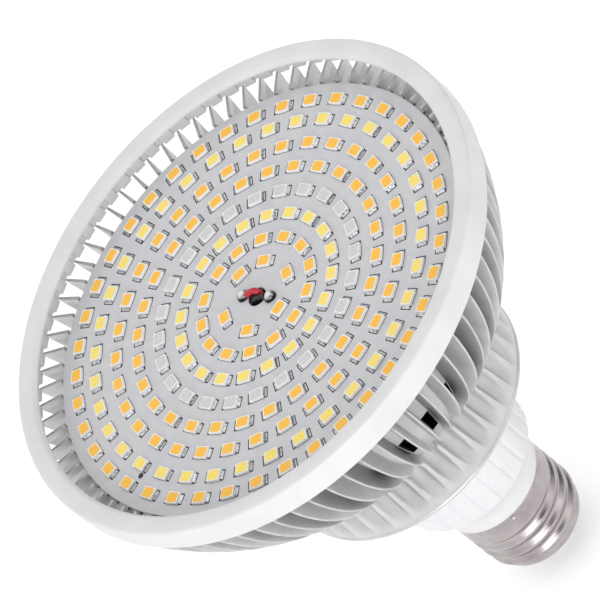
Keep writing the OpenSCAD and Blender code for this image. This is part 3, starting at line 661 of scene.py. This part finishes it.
# ---------------------------------------------------------------- cap insulator
# Black moulded glass that fills the shell's end, with fine ribs from its mould.
black_glass, glass_shader, where = surface("insulator_black_glass", Roughness=0.16, IOR=1.52)
join(black_glass, tint(black_glass, grain(black_glass, where, 2.0, 0, 1), "141415", "232326"),
     glass_shader, "Base Color")
bm = bmesh.new()
outline = [(2.4, 1.62), (5.3, 1.62), (5.5, 1.75)]
outline += [curve((5.6, 2.0), (6.6, 5.2), (9.3, 5.9), i / 8) for i in range(9)]
outline += [(9.4, 6.05), (9.4, 6.38), (9.9, 6.42), (9.9, 7.3), (2.0, 7.3), (2.0, 3.0)]
lathe(bm, outline, 96)
for v in bm.verts:
    r = math.hypot(v.co.x, v.co.y)
    if 5.8 < r < 9.2 and v.co.z < 5.9:
        push = 0.12 * math.cos(24 * math.atan2(v.co.y, v.co.x))
        v.co.x += v.co.x / r * push
        v.co.y += v.co.y / r * push
piece("insulator", bm, [black_glass], "insulator_glass", "cap_insulator", sharp=40)

# ---------------------------------------------------------------- centre contact
# Tinned brass disc at the tip, with the solder of the live wire in its middle.
brass, brass_shader, where = surface("contact_tinned_brass", Metallic=1.0, Roughness=0.3)
join(brass, tint(brass, grain(brass, where, 0.9, 0, 1), "aaa598", "cbc6bb"), brass_shader,
     "Base Color")
bumps(brass, brass_shader, grain(brass, where, 0.5, 0, 1), 0.015)
bm = bmesh.new()
outline = [(0, 0.12), (1.3, 0.0), (1.9, 0.12), (2.3, 0.34), (2.6, 0.42)]
outline += [curve((4.0, 0.5), (4.72, 0.55), (4.75, 1.1), i / 5) for i in range(6)]
outline += [(4.75, 1.55), (4.7, 1.6), (0, 1.6)]
lathe(bm, outline, 64, closed=False)
piece("tip_contact", bm, [brass], "contact_metal", "centre_contact", sharp=50)

# ---------------------------------------------------------------- driver
# The driver's board and parts stand inside the cup; they show only as dark
# shapes through the vent windows, so their solids stay, with real finishes.
for node, name, first_tone, second_tone, rough, metal, size in (
        ("thermal_pad", "pad_silicone_grey", "9a9ea3", "a9adb1", 0.7, 0.0, 1.0),
        ("driver_board", "board_laminate_tan", "b48f55", "c4a26a", 0.5, 0.0, 1.5),
        ("input_capacitor", "capacitor_sleeve_black", "17181c", "26282e", 0.3, 0.0, 2.0),
        ("output_capacitor", "capacitor_sleeve_black_small", "17181c", "26282e", 0.3, 0.0, 2.0),
        ("transformer_core", "ferrite_dark_grey", "2a2b2d", "3a3b3e", 0.6, 0.0, 0.5),
        ("transformer_coil", "coil_tape_yellow", "c79a26", "dcb343", 0.25, 0.0, 2.0),
        ("film_capacitor", "film_box_ochre", "b8994f", "cbae68", 0.3, 0.0, 2.0),
        ("choke", "choke_sleeve_dark", "1e2a20", "2c3a2e", 0.35, 0.0, 1.5),
        ("rectifier", "rectifier_epoxy_black", "131314", "202022", 0.5, 0.0, 0.6),
        ("fuse_resistor", "resistor_lacquer_green", "4a7f66", "5e957b", 0.35, 0.0, 0.8),
        ("live_lead", "wire_insulation_brown", "4e2c18", "6a4027", 0.35, 0.0, 1.0),
        ("neutral_lead", "wire_insulation_grey", "77787c", "8f9094", 0.35, 0.0, 1.0)):
    finish, finish_shader, where = surface(name, Roughness=rough, Metallic=metal)
    join(finish, tint(finish, grain(finish, where, size, 0, 1), first_tone, second_tone),
         finish_shader, "Base Color")
    bumps(finish, finish_shader, grain(finish, where, size / 3, 0, 1), 0.01)
    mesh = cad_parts[node].data
    mesh.materials.clear()
    mesh.materials.append(finish)

# ---------------------------------------------------------------- floor
# Plain pale floor under the lamp. The camera sees it lifted to white, and it
# keeps the lamp's shadow.
pale = bpy.data.materials.new("floor_plain_white")
pale.use_nodes = True
pale.node_tree.nodes.clear()
ray = add(pale, "ShaderNodeLightPath")
mirrored = add(pale, "ShaderNodeMath", {"operation": "MAXIMUM"}, i0=ray.outputs["Is Glossy Ray"],
               i1=ray.outputs["Is Transmission Ray"])
seen = add(pale, "ShaderNodeMath", {"operation": "MAXIMUM"}, i0=ray.outputs["Is Camera Ray"],
           i1=mirrored.outputs[0])
matt = add(pale, "ShaderNodeBsdfDiffuse", Color=colour("f4f4f4"))
glow = add(pale, "ShaderNodeEmission", Color=colour("ffffff"), Strength=0.4)
black = add(pale, "ShaderNodeEmission", Color=(0, 0, 0, 1), Strength=0.0)
lift = add(pale, "ShaderNodeMixShader", i0=seen.outputs[0], i1=black.outputs[0], i2=glow.outputs[0])
both = add(pale, "ShaderNodeAddShader", i0=matt.outputs[0], i1=lift.outputs[0])
add(pale, "ShaderNodeOutputMaterial", Surface=both.outputs[0])
mesh = bpy.data.meshes.new("floor")
bm = bmesh.new()
bmesh.ops.create_grid(bm, x_segments=1, y_segments=1, size=6)
bm.to_mesh(mesh)
bm.free()
mesh.materials.append(pale)
floor = bpy.data.objects.new("floor", mesh)
scene.collection.objects.link(floor)

# ---------------------------------------------------------------- light
# Even white surroundings with a dark flag on the right and the dark place of the
# photographer in front, which the bare metal mirrors, and two wide soft lamps.
world = bpy.data.worlds.new("studio")
scene.world = world
world.use_nodes = True
world.node_tree.nodes.clear()
toward = add(world, "ShaderNodeTexCoord")
tone = None
for direction, low, high in (((0.87, 0.5, 0.0), 0.65, 0.92), ((0.306, -0.697, 0.649), 0.86, 0.96)):
    facing = add(world, "ShaderNodeVectorMath", {"operation": "DOT_PRODUCT"},
                 i0=toward.outputs["Generated"], i1=direction)
    dark = add(world, "ShaderNodeMapRange", {"interpolation_type": "SMOOTHSTEP"},
               Value=facing.outputs["Value"], i1=low, i2=high, i3=0.0, i4=1.0)
    if tone:
        dark = add(world, "ShaderNodeMath", {"operation": "MAXIMUM"}, i0=tone, i1=dark.outputs[0])
    tone = dark.outputs[0]
ray = add(world, "ShaderNodeLightPath")
mirrored = add(world, "ShaderNodeMath", {"operation": "MAXIMUM"}, i0=ray.outputs["Is Glossy Ray"],
               i1=ray.outputs["Is Transmission Ray"])
seen = add(world, "ShaderNodeMath", {"operation": "MAXIMUM"}, i0=ray.outputs["Is Camera Ray"],
           i1=mirrored.outputs[0])
unseen = add(world, "ShaderNodeMath", {"operation": "SUBTRACT"}, i0=1.0,
             i1=ray.outputs["Is Camera Ray"])
flagged = add(world, "ShaderNodeMath", {"operation": "MULTIPLY"}, i0=tone, i1=unseen.outputs[0])
around_lamp = tint(world, flagged.outputs[0], "ffffff", "47474a")
sky = add(world, "ShaderNodeBackground", Strength=0.88, Color=around_lamp)
plain = add(world, "ShaderNodeBackground", Strength=1.0, Color=around_lamp)
seen = add(world, "ShaderNodeMixShader", i0=seen.outputs[0], i1=sky.outputs[0],
           i2=plain.outputs[0])
add(world, "ShaderNodeOutputWorld", Surface=seen.outputs[0])
for name, direction, power, size in (("key", (0.08, -0.95, 0.27), 2.5, 0.6),
                                     ("fill", (0.95, -0.1, 0.3), 1.0, 0.9)):
    light = bpy.data.lights.new(name, "AREA")
    light.shape = "DISK"
    light.size = size
    light.energy = power
    lamp = bpy.data.objects.new(name, light)
    scene.collection.objects.link(lamp)
    toward_lamp = Vector(direction).normalized()
    lamp.location = Vector((0, 0, 0.09)) + toward_lamp * 0.9
    lamp.rotation_euler = (-toward_lamp).to_track_quat("-Z", "Y").to_euler()

# ---------------------------------------------------------------- camera
# Long lens from above the front rim, rolled so that the cap points down right.
camera = bpy.data.objects.new("camera", bpy.data.cameras.new("camera"))
scene.collection.objects.link(camera)
scene.camera = camera
camera.data.lens = 346.3
camera.data.sensor_width = 36
right, up, back = (Vector(v).normalized() for v in
                   ((0.77684, -0.21070, -0.59340), (0.55009, 0.68556, 0.47680),
                    (0.30636, -0.69685, 0.64850)))
camera.matrix_world = Matrix.Translation((0.3893, -0.8725, 0.9180)) @ Matrix(
    (right, up, back)).transposed().to_4x4()
camera.data.clip_start, camera.data.clip_end = 0.05, 20
